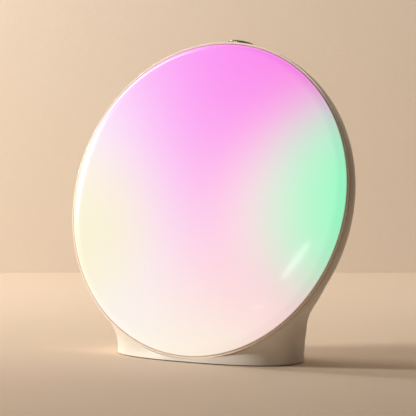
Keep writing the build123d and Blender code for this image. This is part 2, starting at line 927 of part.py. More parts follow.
with BuildPart() as encoder_body:
    with BuildSketch(along_dial(encoder_base)):
        Rectangle(encoder_side, encoder_side)
    extrude(amount=encoder_height)
    add(rods(along_dial(encoder_top), [(0, 0)], bushing_radius, pod_roof - fit_gap))
    add(
        rods(along_dial(encoder_base + encoder_floor), [(0, 0)], shaft_radius + running_gap, boss_reach),
        mode=Mode.SUBTRACT,
    )
save(encoder_body, "encoder_body")

with BuildPart() as dial_board:
    with BuildSketch(along_dial(encoder_base)):
        Rectangle(dial_board_width, dial_board_depth)
        with Locations(*dial_screw_spots):
            Circle(small_hole, mode=Mode.SUBTRACT)
    extrude(amount=-dial_board_thickness)
save(dial_board, "dial_board")

under_dial_board = Plane(
    origin=along_dial(encoder_base - dial_board_thickness).origin, x_dir=(1, 0, 0), z_dir=-disc.y_dir
)
dial_screw_reach = dial_board_thickness + dial_screw_length - hole_gap
save(screw_set(under_dial_board, dial_screw_spots, small_screw, dial_screw_reach), "dial_screws")

# Base plate inside the foot's edge, with posts for the power board
power_spots = four_spots(power_screw_across, power_screw_along, power_board_middle)
weight_spots = [(-weight_screw_across, weight_middle), (weight_screw_across, weight_middle)]
power_board_bottom = board_level - power_board_thickness
plate_outline = foot_outline(plate_top, shell_wall + fit_gap, plate_bottom)
pad_outline = foot_outline(foot_edge, shell_wall + pad_inset, 0)
with BuildPart() as base_plate:
    extrude(plate_outline, amount=plate_thickness)
    mirror(about=Plane.YZ)
    split(bisect_by=behind(shell_front + cavity_front + fit_gap), keep=Keep.BOTTOM)
    add(rods(Plane.XY.offset(plate_top), power_spots, power_post_radius, power_board_bottom - plate_top))
    add(rods(Plane.XY.offset(plate_bottom), base_spots, large_hole, plate_thickness), mode=Mode.SUBTRACT)
    add(
        rods(Plane.XY.offset(plate_bottom), base_spots, large_screw[0] + hole_gap, head_recess),
        mode=Mode.SUBTRACT,
    )
    weight_reach = weight_height - weight_screw_length - hole_gap
    add(rods(Plane.XY.offset(plate_top), weight_spots, large_pilot, weight_reach), mode=Mode.SUBTRACT)
    power_reach = power_board_thickness - power_screw_length - hole_gap
    add(
        rods(Plane.XY.offset(power_board_bottom), power_spots, small_pilot, power_reach),
        mode=Mode.SUBTRACT,
    )
save(base_plate, "base_plate")

with BuildPart() as foot_pad:
    extrude(pad_outline, amount=pad_thickness)
    mirror(about=Plane.YZ)
    split(bisect_by=behind(shell_front + cavity_front + pad_inset), keep=Keep.BOTTOM)
save(foot_pad, "foot_pad")

under_plate = Plane(origin=(0, 0, plate_bottom + head_recess), x_dir=(1, 0, 0), z_dir=(0, 0, -1))
base_reach = plate_thickness - head_recess + base_screw_length - hole_gap
save(screw_set(under_plate, base_spots, large_screw, base_reach), "base_screws")

with BuildPart() as base_weight:
    with BuildSketch(Plane.XY.offset(plate_top)):
        with Locations((0, weight_middle)):
            Rectangle(weight_length, weight_depth)
        with Locations(*weight_spots):
            Circle(large_hole, mode=Mode.SUBTRACT)
    extrude(amount=weight_height)
save(base_weight, "base_weight")

weight_top = Plane.XY.offset(plate_top + weight_height)
save(screw_set(weight_top, weight_spots, large_screw, weight_screw_length), "weight_screws")

with BuildPart() as power_board:
    with BuildSketch(Plane.XY.offset(power_board_bottom)):
        with Locations((0, power_board_middle)):
            Rectangle(power_board_width, power_board_depth)
        with Locations(*power_spots):
            Circle(small_hole, mode=Mode.SUBTRACT)
    extrude(amount=power_board_thickness)
save(power_board, "power_board")
save(screw_set(Plane.XY.offset(board_level), power_spots, small_screw, power_screw_length), "power_screws")

with BuildPart() as power_parts:
    for across, along, width, depth, height in power_chips:
        with BuildSketch(Plane.XY.offset(board_level)):
            with Locations((across, power_board_middle + along)):
                Rectangle(width, depth)
        extrude(amount=height)
    for across, along, radius, height in power_cans:
        with BuildSketch(Plane.XY.offset(board_level)):
            with Locations((across, power_board_middle + along)):
                Circle(radius)
        extrude(amount=height)
save(power_parts, "power_parts")

with BuildPart() as usb_c_socket:
    with BuildSketch(mouth):
        RectangleRounded(socket_width, socket_height, socket_corner)
    extrude(amount=-socket_length)
    inner_width = socket_width - 2 * socket_wall
    inner_height = socket_height - 2 * socket_wall
    with BuildSketch(mouth):
        RectangleRounded(inner_width, inner_height, socket_corner - socket_wall)
    extrude(amount=-socket_depth, mode=Mode.SUBTRACT)
    with BuildSketch(mouth.offset(-socket_depth)):
        Rectangle(socket_tongue_width, socket_tongue_height)
    extrude(amount=socket_tongue_length)
save(usb_c_socket, "usb_c_socket")

# Leads from the power board, the loudspeaker and the dial board to the main board
power_socket, speaker_socket, dial_socket = lead_sockets
socket_back = main_board_back + socket_size[2]
socket_middle = main_board_back + socket_size[2] / 2
power_plug = (power_chips[0][0], power_board_middle + power_chips[0][1])
power_plug_top = board_level + power_chips[0][4]
power_end = main_board_up + power_socket[1]
power_route = [
    (*power_plug, power_plug_top),
    (*power_plug, power_plug_top + power_lead_rise),
    power_lead_knee,
    on_disc(power_socket[0], power_end, socket_back + 1.5 * lead_start),
    on_disc(power_socket[0], power_end, socket_back),
]
save(lead(power_route, power_lead_radius, power_lead_bend), "power_lead")

flange_edge = flange_back.origin - speaker_seat.y_dir * speaker_screw_radius
speaker_end = main_board_up + speaker_socket[1] + socket_size[1] / 2
speaker_route = [
    flange_edge,
    flange_edge - speaker_seat.z_dir * lead_start,
    on_disc(speaker_socket[0], speaker_end + 3 * lead_start, socket_middle),
    on_disc(speaker_socket[0], speaker_end, socket_middle),
]
save(lead(speaker_route, lead_radius, lead_bend), "speaker_lead")

dial_board_under = encoder_base - dial_board_thickness
dial_end = main_board_up + dial_socket[1] + socket_size[1] / 2
dial_side = -dial_socket[0]
dial_route = [
    on_disc(0, dial_board_under, dial_depth),
    on_disc(0, dial_board_under - 2 * lead_start, dial_depth),
    on_disc(dial_side, 2 * speaker_up, dial_depth + 1),
    on_disc(dial_side - dial_lead_bow, speaker_up / 2, dial_depth + 1),
    on_disc(dial_side, dial_end + 3 * lead_start, socket_middle),
    on_disc(dial_side, dial_end, socket_middle),
]
save(lead(dial_route, lead_radius, lead_bend), "dial_lead")
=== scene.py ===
import json
from math import acos, atan2, cos, degrees, pi, radians, sin, sqrt

import bmesh
import bpy
from mathutils import Matrix, Vector


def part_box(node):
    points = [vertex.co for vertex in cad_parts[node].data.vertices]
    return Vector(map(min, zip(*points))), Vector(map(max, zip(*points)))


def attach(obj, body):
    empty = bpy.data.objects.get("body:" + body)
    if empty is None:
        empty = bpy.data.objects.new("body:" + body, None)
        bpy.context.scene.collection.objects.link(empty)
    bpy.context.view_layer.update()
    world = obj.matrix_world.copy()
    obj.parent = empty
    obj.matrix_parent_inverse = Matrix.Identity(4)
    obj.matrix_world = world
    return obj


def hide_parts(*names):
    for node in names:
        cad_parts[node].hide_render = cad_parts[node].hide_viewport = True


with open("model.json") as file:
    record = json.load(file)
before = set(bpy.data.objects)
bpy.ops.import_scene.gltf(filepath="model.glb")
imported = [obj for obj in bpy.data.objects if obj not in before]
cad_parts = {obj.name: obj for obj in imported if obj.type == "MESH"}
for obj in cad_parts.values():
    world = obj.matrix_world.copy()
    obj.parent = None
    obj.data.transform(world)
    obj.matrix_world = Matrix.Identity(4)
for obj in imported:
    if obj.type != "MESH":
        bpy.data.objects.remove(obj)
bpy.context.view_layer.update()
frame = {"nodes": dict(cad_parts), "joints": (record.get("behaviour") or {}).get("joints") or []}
millimetre = 0.001

# Camera: it stands to the right of the lamp, a little above the middle of the lit disc,
# and looks slightly down, with a long lens.
camera_turn = radians(32.36)
camera_drop = radians(4.5)
camera_distance = 1.8856
camera_target = Vector((0, -0.0038, 0.1))
focal_in_pictures = 7.2115
frame_shift = (0.0033, -0.0202)


def add_camera():
    ahead = Vector((
        -sin(camera_turn) * cos(camera_drop),
        cos(camera_turn) * cos(camera_drop),
        -sin(camera_drop),
    ))
    right = Vector((cos(camera_turn), sin(camera_turn), 0))
    data = bpy.data.cameras.new("camera")
    data.lens = focal_in_pictures * data.sensor_width
    data.shift_x, data.shift_y = frame_shift
    camera = bpy.data.objects.new("camera", data)
    turn = Matrix((right, right.cross(ahead), -ahead)).transposed().to_4x4()
    camera.matrix_world = Matrix.Translation(camera_target - camera_distance * ahead) @ turn
    bpy.context.collection.objects.link(camera)
    bpy.context.scene.camera = camera
    bpy.context.scene.view_settings.view_transform = "Standard"


add_camera()


# Shader maths: a socket that takes Python's operators, and one method for any other node
class Socket:
    def __init__(self, finish, link):
        self.finish, self.link = finish, link

    def maths(self, operation, *values):
        return self.finish.node("ShaderNodeMath", {"operation": operation}, *values)

    def __add__(self, other):
        return self.maths("ADD", self, other)

    def __sub__(self, other):
        return self.maths("SUBTRACT", self, other)

    def __rsub__(self, other):
        return self.maths("SUBTRACT", other, self)

    def __mul__(self, other):
        return self.maths("MULTIPLY", self, other)

    def __truediv__(self, other):
        return self.maths("DIVIDE", self, other)

    def __rtruediv__(self, other):
        return self.maths("DIVIDE", other, self)

    def __lt__(self, other):
        return self.maths("LESS_THAN", self, other)

    def root(self):
        return self.maths("SQRT", self)

    def clamped(self):
        return self.finish.node("ShaderNodeClamp", {}, self)


class Finish:
    # Inputs of Blender's colour mix for its share and its two colours, and its colour output
    mix_inputs = (0, 6, 7)
    mix_output = 2

    def __init__(self, name, colour, roughness, **settings):
        self.material = bpy.data.materials.new(name)
        self.material.use_nodes = True
        self.nodes = self.material.node_tree.nodes
        self.shader = self.nodes["Principled BSDF"]
        self.colour = colour
        self.shader.inputs["Base Color"].default_value = (*colour, 1)
        self.shader.inputs["Roughness"].default_value = roughness
        for socket, value in settings.items():
            self.shader.inputs[socket.replace("_", " ")].default_value = value

    def node(self, kind, settings, *values, output=0, **named):
        made = self.nodes.new(kind)
        for setting, value in settings.items():
            setattr(made, setting, value)
        by_name = ((made.inputs[socket], value) for socket, value in named.items())
        for socket, value in (*zip(made.inputs, values), *by_name):
            self.feed(socket, value)
        return Socket(self, made.outputs[output])

    def feed(self, socket, value):
        if isinstance(value, Socket):
            self.material.node_tree.links.new(value.link, socket)
        else:
            socket.default_value = value

    def set(self, name, value):
        self.feed(self.shader.inputs[name], value)

    def place(self):
        return self.node("ShaderNodeTexCoord", {}, output="Object")

    def vector(self, operation, *values, output=0):
        return self.node("ShaderNodeVectorMath", {"operation": operation}, *values, output=output)

    # How far a point lies along a direction from a middle
    def along(self, direction, middle=Vector()):
        reach = self.vector("DOT_PRODUCT", self.place(), tuple(direction), output="Value")
        return reach - middle.dot(direction)

    def noise(self, size, detail=2.0, roughness=0.5, stretch=None):
        place = self.vector("MULTIPLY", self.place(), stretch) if stretch else self.place()
        settings = {"Scale": 1 / size, "Detail": detail, "Roughness": roughness}
        return self.node("ShaderNodeTexNoise", {}, place, **settings)

    def cells(self, size, **settings):
        return self.node("ShaderNodeTexVoronoi", settings, self.place(), Scale=1 / size)

    def mix(self, share, one, other):
        made = self.nodes.new("ShaderNodeMix")
        made.data_type = "RGBA"
        colours = (tone if isinstance(tone, Socket) else (*tone, 1) for tone in (one, other))
        for socket, value in zip(self.mix_inputs, (share, *colours)):
            self.feed(made.inputs[socket], value)
        return Socket(self, made.outputs[self.mix_output])

    # The base colour drifts between a darker and a lighter tone of its own
    def mottled(self, share, spread):
        low = tuple(channel * (1 - spread) for channel in self.colour)
        high = tuple(min(channel * (1 + spread), 1) for channel in self.colour)
        self.set("Base Color", self.mix(share, low, high))

    def bump(self, height, depth):
        self.set("Normal", self.node("ShaderNodeBump", {}, Distance=depth, Height=height))


# Floor and wall: a plain sand-coloured plaster surface under the lamp and one behind it,
# square to the camera. Each is a single skin that can only be seen from its front.
wall_behind = 0.516
stage_reach = 4
wall_sunk = 0.1
sand_floor = (0.68, 0.55, 0.43)
sand_wall = (0.90, 0.78, 0.66)
plaster_roughness = 0.9
plaster_grain = 2.2 * millimetre
plaster_relief = 0.06 * millimetre
plaster_drift = 0.03


def one_sided(finish):
    behind = finish.node("ShaderNodeNewGeometry", {}, output="Backfacing")
    clear = finish.node("ShaderNodeBsdfTransparent", {})
    solid = Socket(finish, finish.shader.outputs["BSDF"])
    skin = finish.node("ShaderNodeMixShader", {}, behind, solid, clear)
    finish.feed(finish.nodes["Material Output"].inputs["Surface"], skin)


def plastered(name, colour):
    plaster = Finish("plaster_" + name, colour, plaster_roughness, Specular_IOR_Level=0.2)
    grain = plaster.noise(plaster_grain, detail=3.0, roughness=0.6)
    plaster.mottled(grain, plaster_drift)
    plaster.bump(grain, plaster_relief)
    one_sided(plaster)
    return plaster.material


def add_stage(name, colour, place):
    shape = bmesh.new()
    bmesh.ops.create_grid(shape, x_segments=1, y_segments=1, size=stage_reach)
    squared = Matrix.Rotation(camera_turn, 4, "Z") @ place
    bmesh.ops.transform(shape, matrix=squared, verts=shape.verts)
    mesh = bpy.data.meshes.new(name)
    shape.to_mesh(mesh)
    shape.free()
    piece = bpy.data.objects.new(name, mesh)
    bpy.context.collection.objects.link(piece)
    mesh.materials.append(plastered(name, colour))


upright = Matrix.Rotation(pi / 2, 4, "X")
add_stage("floor", sand_floor, Matrix())
add_stage(
    "wall", sand_wall, Matrix.Translation((0, wall_behind, stage_reach - wall_sunk)) @ upright
)


# Light: a soft lamp at the left that casts the shadow to the right, two lamps at the back
# that wash the wall, and two faint strips that are mirrored as the streaks on the lens.
# Places are as the camera sees them: to the right, away from it, and up.
def seen(right, away, up):
    return Matrix.Rotation(camera_turn, 3, "Z") @ Vector((right, away, up))


def add_light(name, power, colour, size, place, target, roll=0, spread=180):
    data = bpy.data.lights.new(name, "AREA")
    data.shape = "ELLIPSE"
    data.size, data.size_y = size
    data.energy, data.color = power, colour
    data.spread = radians(spread)
    light = bpy.data.objects.new(name, data)
    place, target = seen(*place), seen(*target)
    aim = (place - target).to_track_quat("Z", "Y").to_matrix()
    turn = aim @ Matrix.Rotation(radians(roll), 3, "Z")
    light.matrix_world = Matrix.Translation(place) @ turn.to_4x4()
    bpy.context.collection.objects.link(light)


add_light(
    "side_lamp", 22.8, (1.0, 0.955, 0.88), size=(0.3, 0.3),
    place=(-1.5, 0.0, 0.6), target=(0, 0, 0.05),
)
add_light(
    "wall_wash", 1.8, (0.97, 1.0, 0.98), size=(0.15, 0.45),
    place=(-0.56, 0.37, 0.63), target=(0.0, 0.5, 0.15), roll=-39, spread=120,
)
add_light(
    "back_lamp", 0.8, (1.0, 0.98, 0.93), size=(0.5, 0.2),
    place=(0.4, 0.38, 0.6), target=(0.4, 0.516, 0.1),
)
add_light(
    "long_streak", 0.055, (1, 1, 1), size=(0.024, 0.155),
    place=(-1.537, -1.107, 0.673), target=(0.052, -0.055, 0.067), roll=-27,
)
add_light(
    "short_streak", 0.005, (1, 1, 1), size=(0.007, 0.06),
    place=(-1.638, -1.048, 0.511), target=(0.029, -0.049, 0.037), roll=-66,
)

# The room glows faintly; where it is looked at or mirrored, its walls show a pale sand
glow_colour = (1.0, 0.75, 0.54)
glow_strength = 0.06
room_walls = (0.60, 0.48, 0.38)


def add_room():
    world = bpy.data.worlds.new("room")
    world.use_nodes = True
    tree = world.node_tree
    glow = tree.nodes["Background"]
    glow.inputs["Color"].default_value = (*glow_colour, 1)
    glow.inputs["Strength"].default_value = glow_strength
    walls = tree.nodes.new("ShaderNodeBackground")
    walls.inputs["Color"].default_value = (*room_walls, 1)
    rays = tree.nodes.new("ShaderNodeLightPath")
    mix = tree.nodes.new("ShaderNodeMixShader")
    direct = rays.outputs["Is Camera Ray"]
    for ray in ("Is Glossy Ray", "Is Transmission Ray"):
        either = tree.nodes.new("ShaderNodeMath")
        either.operation = "MAXIMUM"
        tree.links.new(direct, either.inputs[0])
        tree.links.new(rays.outputs[ray], either.inputs[1])
        direct = either.outputs[0]
    for source, target in zip((direct, glow.outputs[0], walls.outputs[0]), mix.inputs):
        tree.links.new(source, target)
    tree.links.new(mix.outputs[0], tree.nodes["World Output"].inputs["Surface"])
    bpy.context.scene.world = world


add_room()

# Lens: one thick opal acrylic dome, moulded with a rolled edge, glossy outside and lit
# from behind in soft coloured fields. Its skirt is bonded into the bezel.
sideways = Vector((1, 0, 0))
lean_up = Vector(next(joint["axis"] for joint in frame["joints"] if joint["name"] == "dial_turn"))
lean_front = sideways.cross(lean_up)
led_low, led_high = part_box("led_board")
led_board_depth = 5.7 * millimetre
disc_middle = (led_low + led_high) / 2 + lean_front * led_board_depth
lens_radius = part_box("diffuser_lens")[1].x
lens_rise = 8.5 * millimetre
lens_edge_rise = 4.0 * millimetre
lens_edge_round = 6.0 * millimetre
lens_wall = 2.4 * millimetre
lens_skirt = 2.5 * millimetre


# Stands a shape's z axis along a direction, with its x axis across the lamp
def standing(foot, upwards):
    turn = Matrix((sideways, upwards.cross(sideways), upwards)).transposed()
    return Matrix.Translation(foot) @ turn.to_4x4()


# A profile of (radius, height) points, turned about the z axis into a closed skin
def spun(profile, steps, closed):
    shape = bmesh.new()
    points = [shape.verts.new((radius, 0, height)) for radius, height in profile]
    loop = points + points[:1] if closed else points
    edges = [shape.edges.new(pair) for pair in zip(loop, loop[1:])]
    bmesh.ops.spin(
        shape, geom=points + edges, axis=(0, 0, 1), cent=(0, 0, 0),
        angle=2 * pi, steps=steps, use_merge=True,
    )
    bmesh.ops.remove_doubles(shape, verts=shape.verts, dist=1e-6)
    return shape


def finished(name, shape, place, sharp):
    bmesh.ops.transform(shape, matrix=place, verts=shape.verts)
    bmesh.ops.recalc_face_normals(shape, faces=shape.faces)
    mesh = bpy.data.meshes.new(name)
    shape.to_mesh(mesh)
    shape.free()
    piece = bpy.data.objects.new(name, mesh)
    bpy.context.collection.objects.link(piece)
    mesh.shade_smooth()
    mesh.set_sharp_from_angle(angle=radians(sharp))
    return piece


# Points of an arc about a centre, from one angle to another
def arc(centre, radius, start, end, steps):
    turns = [radians(start + (end - start) * i / steps) for i in range(steps + 1)]
    return [(centre[0] + radius * cos(turn), centre[1] + radius * sin(turn)) for turn in turns]


# Line of the dome, set in from its outside by the wall for its inner skin: a shallow arc
# from its middle, then the rolled edge, down to the foot of its skirt
def dome_line(wall, shallow_steps=40, roll_steps=14):
    radius, edge_round = lens_radius - wall, lens_edge_round - wall
    rise, drop = lens_rise - wall, lens_rise - lens_edge_rise
    curve = (radius * radius + drop * drop) / (2 * drop)
    inner = radius - edge_round
    far = curve - edge_round
    roll = (inner, rise - curve + sqrt(far * far - inner * inner))
    places = [inner * i / shallow_steps for i in range(shallow_steps)]
    shallow = [(place, rise - place ** 2 / (2 * curve)) for place in places]
    rolled = arc(roll, edge_round, degrees(acos(inner / far)), 0, roll_steps)
    return shallow + rolled + [(radius, -lens_skirt)]


lens_line = dome_line(0) + dome_line(lens_wall)[::-1]
disc_place = standing(disc_middle, lean_front)
lens = finished("lens", spun(lens_line, steps=256, closed=False), disc_place, sharp=35)
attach(lens, "stand")
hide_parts("diffuser_lens")

# Lit fields as (x, up, spread, weight, colour), in millimetres on the disc
lit_fields = (
    (-20, 48, 42, 1.2, (0.84, 0.16, 0.83)),
    (82, 5, 26, 1.3, (0.12, 0.96, 0.48)),
    (-85, -22, 25, 6.0, (0.81, 0.77, 0.46)),
    (-15, -82, 52, 0.6, (0.85, 0.85, 0.65)),
    (14, 4, 51, 0.45, (0.92, 0.12, 0.55)),
    (-78, -5, 46, 2.2, (0.81, 0.81, 0.90)),
    (45, 4, 28, 0.6, (1.00, 0.97, 0.82)),
)
lit_strength = 1.0
opal_body = (0.14, 0.13, 0.13)
opal_roughness = 0.055
opal_drift = 0.02
opal_grain = 1.2 * millimetre
opal_coat = 0.2
# The last of the rolled edge is unlit, and shows the acrylic's own cream
unlit_edge = 0.25 * millimetre
edge_cream = (0.62, 0.50, 0.42)
edge_glow = (0.10, 0.06, 0.05)
# The gloss fades towards the edge
dull_band = 8 * millimetre
edge_dullness = 0.25


# A point of the leaning disc as its way across, its way up and its distance from the middle
def disc_point(finish):
    across = finish.along(sideways)
    upwards = finish.along(lean_up, disc_middle)
    return across, upwards, (across * across + upwards * upwards).root()


def opal_acrylic():
    opal = Finish(
        "opal_acrylic", opal_body, opal_roughness, Specular_IOR_Level=0.35, Coat_Roughness=0.03
    )
    across, upwards, radius = disc_point(opal)
    lit = ((lens_radius - radius) / unlit_edge).clamped()
    total, colour = None, None
    for x, up, spread, weight, tone in lit_fields:
        x_away = across - x * millimetre
        up_away = upwards - up * millimetre
        far = (x_away * x_away + up_away * up_away) / (-2 * (spread * millimetre) ** 2)
        share = far.maths("EXPONENT", far) * weight
        total = total + share if total else share
        colour = opal.mix((share / total).clamped(), colour or tone, tone)
    opal.set("Emission Color", opal.mix(lit, edge_glow, colour))
    opal.set("Emission Strength", lit_strength)
    opal.set("Base Color", opal.mix(lit, edge_cream, opal_body))
    dull = ((radius - lens_radius + dull_band) / dull_band).clamped()
    drift = opal.noise(opal_grain) * opal_drift
    opal.set("Roughness", drift + dull * edge_dullness + opal_roughness)
    opal.set("Coat Weight", opal_coat - dull * opal_coat)
    return opal.material


lens.data.materials.append(opal_acrylic())

# Bezel: a thin moulded rim round the lens in pinkish cream lacquer, whose tongue stands in
# the housing. Its face falls a little towards a fine glossy bead at its outer edge, whose
# lighter colour is a painted highlight, and the groove behind the bead is painted dark
# brown as painted shade.
bezel_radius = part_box("front_bezel")[1].x
bezel_inner = lens_radius + 0.2 * millimetre
inner_edge = 0.15 * millimetre
face_fall = 0.65 * millimetre
bead_fall = 0.4 * millimetre
bead_round = 0.45 * millimetre
bead_start = 150
bead_middle = (bezel_radius - bead_round, -bead_fall - bead_round)
bead_reach = 1.9 * bead_round
groove_depth = 0.5 * millimetre
groove_start = 1.05 * millimetre
groove_end = 2.0 * millimetre
rim_gap = 0.6 * millimetre
rim_groove = 0.8 * millimetre
tongue_radius = 98.7 * millimetre
tongue_wall = 1.8 * millimetre
tongue_end = 5.5 * millimetre
bezel_line = [
    (tongue_radius - tongue_wall, -lens_skirt),
    (bezel_inner, -lens_skirt),
    (bezel_inner, -inner_edge),
    (bezel_inner + inner_edge, 0),
    (bezel_radius - 2 * bead_round, -face_fall),
    *arc(bead_middle, bead_round, bead_start, 0, steps=10),
    (bezel_radius, -groove_start),
    (bezel_radius - groove_depth, -groove_start - groove_depth / 2),
    (bezel_radius - groove_depth, -groove_end + groove_depth / 2),
    (bezel_radius, -groove_end),
    (bezel_radius, -lens_skirt),
    (bezel_radius - rim_groove, -lens_skirt),
    (bezel_radius - rim_groove, -lens_skirt - rim_gap),
    (tongue_radius, -lens_skirt - rim_gap),
    (tongue_radius, -tongue_end),
    (tongue_radius - tongue_wall, -tongue_end),
]
bezel = finished("bezel", spun(bezel_line, steps=320, closed=True), disc_place, sharp=28)
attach(bezel, "stand")
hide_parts("front_bezel")

cream = (0.90, 0.74, 0.62)
cream_low = (0.87, 0.72, 0.60)
cream_high = (0.93, 0.76, 0.64)
# Lighter colour of the bead: a painted highlight, the bright line where its edge catches the light
bead_painted_highlight = (0.97, 0.89, 0.80)
# Dark brown painted into the groove behind the bead: painted shade where the gap would fall into
# shadow
groove_painted_shade = (0.30, 0.22, 0.16)
face_gloss = 0.3
bead_gloss = 1.0
lacquer_roughness = 0.3
lacquer_tone = 0.6 * millimetre
lacquer_grain = 0.25 * millimetre
lacquer_relief = 0.004 * millimetre


def beaded_lacquer():
    lacquer = Finish("cream_lacquer", cream, lacquer_roughness, Coat_Roughness=0.06)
    across, upwards, radius = disc_point(lacquer)
    height = lacquer.along(lean_front, disc_middle)
    outside = 1 - (radius < bezel_radius - bead_reach)
    behind = height < -(groove_start + groove_depth / 4)
    bead = outside * (1 - behind)
    in_groove = (radius < bezel_radius - groove_depth / 2) * behind
    # Where the groove's painted shade goes: inside the groove, between its start and its end
    painted_groove_shade_mask = in_groove * (1 - (height < -groove_end))
    face = lacquer.mix(lacquer.noise(lacquer_tone, detail=3.0), cream_low, cream_high)
    # The bead gets the lighter painted highlight colour over the face's cream
    beaded = lacquer.mix(bead, face, bead_painted_highlight)
    lacquer.set("Base Color", lacquer.mix(painted_groove_shade_mask, beaded, groove_painted_shade))
    lacquer.set("Coat Weight", bead * (bead_gloss - face_gloss) + face_gloss)
    lacquer.bump(lacquer.noise(lacquer_grain), lacquer_relief)
    return lacquer.material


bezel.data.materials.append(beaded_lacquer())

# Housing: one moulded shell of smooth off-white plastic, foot, bowl and dial pod together,
# with the fine grain that the mould leaves. Everything else is fixed to it. The two buttons
# at its back are of the same plastic, a shade more polished.
plastic_tone = 14 * millimetre
plastic_tone_drift = 0.015
plastic_gloss_drift = 0.1


def dress(finish, *names):
    for name in names:
        materials = frame["nodes"][name].data.materials
        materials.clear()
        materials.append(finish.material)


# A moulded plastic; its grain and the depth of the grain are in millimetres
def moulded(name, colour, roughness, grain=0.45, depth=0.006, **settings):
    plastic = Finish(name, colour, roughness, **settings)
    fine = plastic.noise(grain * millimetre, detail=3.0)
    plastic.mottled(plastic.noise(plastic_tone), plastic_tone_drift)
    plastic.set("Roughness", fine * plastic_gloss_drift + (roughness - plastic_gloss_drift / 2))
    plastic.bump(fine, depth * millimetre)
    return plastic


shell_white = moulded(
    "shell_white", (0.81, 0.77, 0.71), 0.36, Coat_Weight=0.15, Coat_Roughness=0.2
)
button_white = moulded("button_white", (0.80, 0.76, 0.70), 0.28, grain=0.3, depth=0.003)
dress(shell_white, "rear_housing")
dress(button_white, "left_button", "right_button")

# Dial: a turned aluminium cap, knurled round its side and anodised in dark bronze. It is
# pushed on the shaft of its encoder, and turns and sinks with it.
dial_low, dial_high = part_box("dial_cap")
dial_radius = (dial_high.x - dial_low.x) / 2
dial_bottom = 100.3 * millimetre
dial_depth = 13.6 * millimetre
dial_height = 3.6 * millimetre
dial_crown = 0.6 * millimetre
crown_inset = 0.4 * millimetre
crown_bevel = 0.25 * millimetre
dial_skirt = 1.4 * millimetre
dial_roof = 1.5 * millimetre
dial_edge = 0.15 * millimetre
hub_radius = 4.8 * millimetre
bore_radius = 2.97 * millimetre
knurl_ridges = 48
knurl_depth = 0.2 * millimetre
knurl_points = 8
knurl_flank = 3 / 8
knurl_reach = 1.5 * dial_edge


def knurled_cap():
    shoulder = dial_height - dial_crown
    ceiling = dial_height - dial_roof
    crown_radius = dial_radius - crown_inset
    skirt_radius = dial_radius - dial_skirt
    skin = [
        (0, dial_height),
        (crown_radius - crown_bevel, dial_height),
        (crown_radius, dial_height - crown_bevel),
        (crown_radius, shoulder),
        (dial_radius - dial_edge, shoulder),
        (dial_radius, shoulder - dial_edge),
        (dial_radius, dial_edge),
        (dial_radius - dial_edge, 0),
        (skirt_radius, 0),
        (skirt_radius, ceiling),
        (hub_radius, ceiling),
        (hub_radius, 0),
        (bore_radius, 0),
        (bore_radius, ceiling),
        (0, ceiling),
    ]
    shape = spun(skin, knurl_ridges * knurl_points, closed=False)
    for vert in shape.verts:
        radius = vert.co.xy.length
        if radius > dial_radius - knurl_reach:
            turn = atan2(vert.co.y, vert.co.x) * knurl_ridges / (2 * pi)
            cut = max(0, 1 - abs(turn - round(turn)) / knurl_flank)
            vert.co.xy *= 1 - knurl_depth * cut / radius
    return shape


dial_foot = disc_middle + lean_up * dial_bottom - lean_front * dial_depth
dial = finished("dial", knurled_cap(), standing(dial_foot, lean_up), sharp=20)
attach(dial, "dial")
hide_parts("dial_cap")

metal_tone = 3 * millimetre
metal_tone_drift = 0.06
metal_relief = 0.003 * millimetre
metal_gloss_drift = 0.15
metal_smoothest = 0.07
bronze = (0.14, 0.10, 0.07)
bronze_roughness = 0.42
bronze_tone = 1.5 * millimetre
bronze_drift = 0.08
ring_pitch = 0.25 * millimetre
ring_relief = 0.002 * millimetre
ring_gloss_drift = 0.04


# A metal with the fine lines of its working, in millimetres, drawn out along one direction
def worked_metal(name, colour, roughness, line=0.15, stretch=(1, 1, 12)):
    metal = Finish(name, colour, roughness, Metallic=1.0)
    lines = metal.noise(line * millimetre, roughness=0.6, stretch=stretch)
    metal.mottled(metal.noise(metal_tone), metal_tone_drift)
    metal.set("Roughness", lines * metal_gloss_drift + (roughness - metal_smoothest))
    metal.bump(lines, metal_relief)
    return metal


# Rings of the lathe round the dial's own axis
def turned_bronze():
    turned = Finish(
        "turned_bronze", bronze, bronze_roughness,
        Metallic=1.0, Coat_Weight=1.0, Coat_Roughness=0.3,
    )
    across = turned.along(sideways)
    inwards = turned.along(lean_front, dial_foot)
    radius = (across * across + inwards * inwards).root()
    rings = radius.maths("SINE", radius * (2 * pi / ring_pitch))
    turned.mottled(turned.noise(bronze_tone), bronze_drift)
    turned.set("Roughness", rings * ring_gloss_drift + bronze_roughness)
    turned.bump(rings, ring_relief)
    return turned.material


dial.data.materials.append(turned_bronze())
screw_steel = worked_metal("screw_steel", (0.60, 0.60, 0.61), 0.32)
can_metal = worked_metal("can_metal", (0.70, 0.70, 0.71), 0.24)
switch_black = moulded("switch_black", (0.05, 0.05, 0.055), 0.5)
dress(screw_steel, "encoder_shaft", "dial_screws")
dress(can_metal, "encoder_body")
dress(switch_black, "dial_plunger")

# Circuit boards: glass-fibre boards under a lacquer, through which the copper runs show a
# little lighter or darker. They are held by small steel screws. The chips on them are
# moulded in black epoxy.
copper_runs = 3.2 * millimetre
copper_share = 0.09
copper_relief = 0.03 * millimetre


def lacquered_board(name, colour, run_colour):
    board = Finish(name, colour, roughness=0.34, Coat_Weight=0.3)
    runs = board.cells(copper_runs, feature="DISTANCE_TO_EDGE") < copper_share
    board.set("Base Color", board.mix(runs, colour, run_colour))
    board.bump(runs, copper_relief)
    return board


